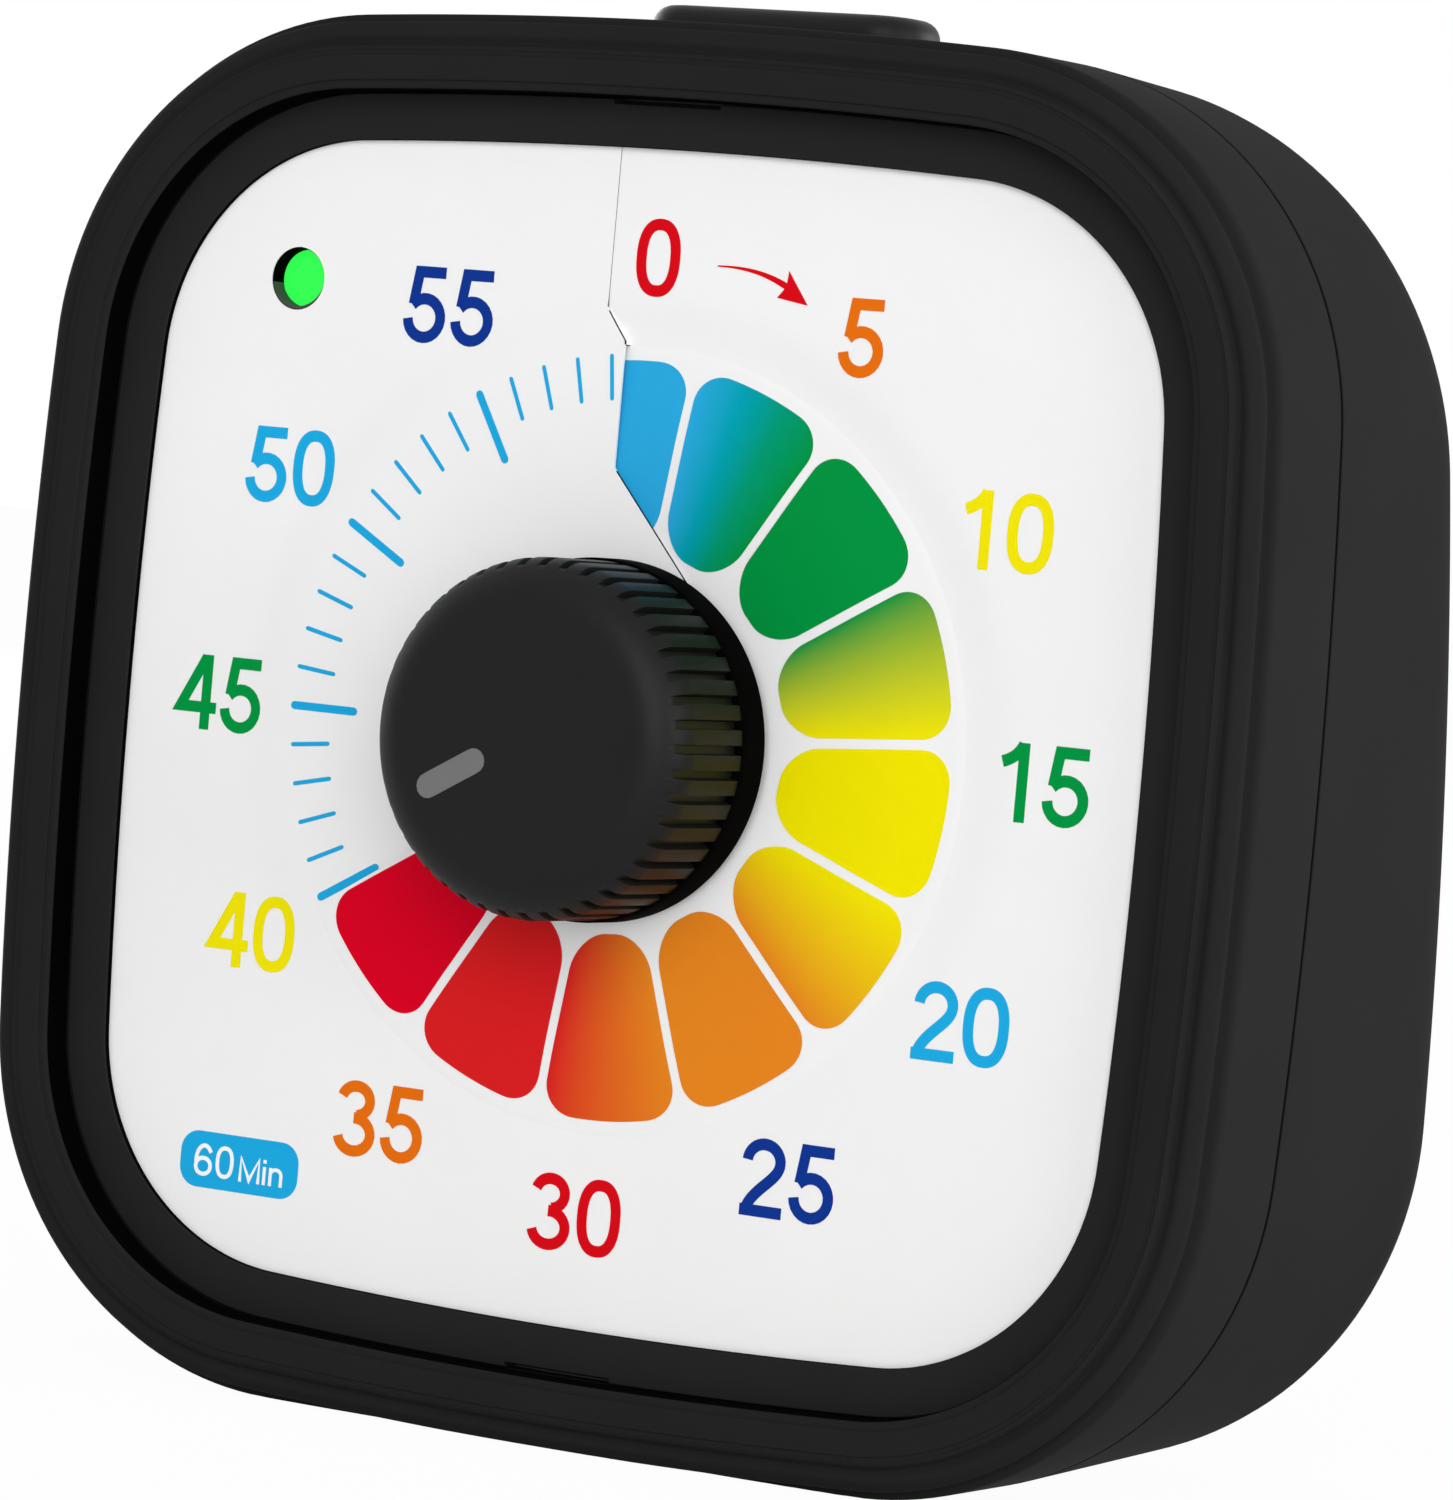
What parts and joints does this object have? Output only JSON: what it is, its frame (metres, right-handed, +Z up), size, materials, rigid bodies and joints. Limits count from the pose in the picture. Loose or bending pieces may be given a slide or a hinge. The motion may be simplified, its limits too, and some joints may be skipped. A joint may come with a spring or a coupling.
{
  "type": "countdown timer",
  "caption": "Square desk countdown timer: a ribbed knob winds a coloured disc out of a slit dial; button on top, battery bay in a leaning back.",
  "frame": {"origin": "on the surface that the timer stands on, in the middle of its width and of its whole depth", "axes": "+X to the right seen from the front, +Y to the back (the dial faces -Y), +Z up"},
  "size_m": [0.086, 0.0476, 0.0873],
  "materials": {
    "case_black": "satin moulded",
    "frame_black": "matt",
    "dial_white": "printed satin sheet",
    "disc_print": "printed film",
    "knob_black": "satin",
    "inner_black": "matt",
    "gear_white": "moulded",
    "movement_grey": "moulded",
    "steel": "plated",
    "brass": "turned",
    "board_green": "coated laminate",
    "lens_green": "clear tinted",
    "cell_wrap": "wrapped can"
  },
  "bodies": {
    "case": {"front_shell": "case_black", "rear_shell": "case_black", "case_screws": "steel", "dial_frame": "frame_black", "dial": "dial_white", "dial_carrier": "inner_black", "arbor_bush": "brass", "bush_nut": "brass", "idler_pin": "steel", "motor_can": "steel", "movement_plate": "movement_grey", "movement_cover": "movement_grey", "movement_screws": "steel", "main_board": "board_green", "board_screws": "steel", "indicator_lens": "lens_green", "indicator_led": "lens_green", "button_switch": "inner_black", "buzzer": "inner_black", "battery_cell": "cell_wrap", "battery_contact": "steel", "battery_spring": "steel", "volume_switch": "inner_black"},
    "knob": {"knob": "knob_black", "arbor": "steel", "arbor_wheel": "gear_white", "clutch_spring": "steel", "arbor_clip": "steel"},
    "disc": {"time_disc": "disc_print", "disc_hub": "gear_white"},
    "idler": {"idler_gear": "gear_white"},
    "pinion": {"motor_pinion": "gear_white"},
    "button": {"top_button": "knob_black", "switch_plunger": "inner_black"},
    "door": {"battery_door": "case_black"},
    "slider": {"volume_slider": "knob_black"}
  },
  "joints": [
    {"name": "knob_turn", "type": "hinge", "parent": "case", "child": "knob", "pos_m": [0, -0.01241, 0.0424], "axis": [0, 1, 0], "range_deg": [-240, 120]},
    {"name": "disc_creep", "type": "slide", "parent": "knob", "child": "disc", "axis": [0, -1, 0], "range_m": [-0.00045, 0.00023]},
    {"name": "idler_spin", "type": "hinge", "parent": "case", "child": "idler", "pos_m": [0.01018, -0.00501, 0.05258], "axis": [0, 1, 0], "range_deg": [-605, 1205]},
    {"name": "pinion_spin", "type": "hinge", "parent": "case", "child": "pinion", "pos_m": [-0.00182, -0.00501, 0.05258], "axis": [0, 1, 0], "range_deg": [-4810, 2410]},
    {"name": "button_press", "type": "slide", "parent": "case", "child": "button", "axis": [0, 0, -1], "range_m": [0, 0.001], "stiffness_N_per_m": 600, "springref_m": -0.0008},
    {"name": "door_lift", "type": "slide", "parent": "case", "child": "door", "axis": [0, 0.9924, 0.1227], "range_m": [0, 0.02]},
    {"name": "volume_slide", "type": "slide", "parent": "case", "child": "slider", "axis": [1, 0, 0], "range_m": [-0.002, 0.002]}
  ],
  "couplings": [
    {"joint": "disc_creep", "follows": "knob_turn", "m_per_rad": 0.00010504},
    {"joint": "idler_spin", "follows": "knob_turn", "ratio": -5},
    {"joint": "pinion_spin", "follows": "knob_turn", "ratio": 20}
  ]
}
